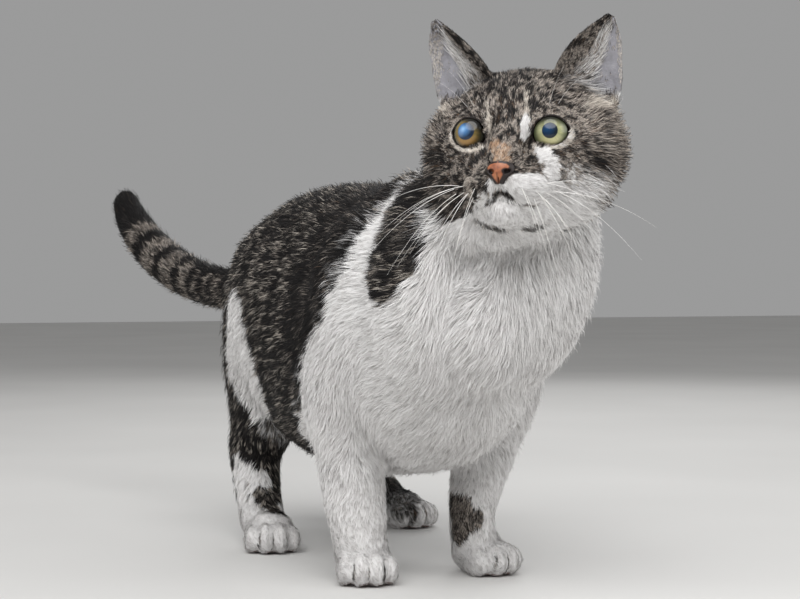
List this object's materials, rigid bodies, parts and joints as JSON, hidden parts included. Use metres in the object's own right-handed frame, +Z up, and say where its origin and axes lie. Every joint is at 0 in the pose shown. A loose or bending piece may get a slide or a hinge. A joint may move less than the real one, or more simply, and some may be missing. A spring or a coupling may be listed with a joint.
{
  "type": "domestic cat",
  "caption": "Stocky tabby and white shorthair cat, standing with its head raised and turned to its right, tail out behind and curved up at the tip.",
  "frame": {"origin": "on the floor below the middle of the cat's box", "axes": "-Y is where the body faces, +Y is towards the tail, +X is the cat's left, +Z is up"},
  "size_m": [0.1745, 0.6864, 0.3361],
  "materials": {
    "tabby": "short dense coat, dark brown and grey tabby",
    "white": "short dense coat, white",
    "nose_leather": "fine grained bare skin, brick red",
    "right_eye": "wet, clouded blue over olive",
    "left_eye": "wet, yellow green"
  },
  "bodies": {
    "root": {"head": "tabby", "ear_left": "tabby", "ear_right": "tabby", "belly": "tabby", "rump": "tabby", "thigh_left": "tabby", "thigh_right": "tabby", "lower_hindleg_left": "tabby", "lower_hindleg_right": "tabby", "tail_base": "tabby", "tail_middle": "tabby", "tail_tip": "tabby", "jaw": "white", "neck": "white", "chest": "white", "upper_foreleg_left": "white", "upper_foreleg_right": "white", "lower_foreleg_left": "white", "lower_foreleg_right": "white", "forepaw_left": "white", "forepaw_right": "white", "hindpaw_left": "white", "hindpaw_right": "white", "nose": "nose_leather", "eye_right": "right_eye", "eye_left": "left_eye"}
  },
  "joints": []
}
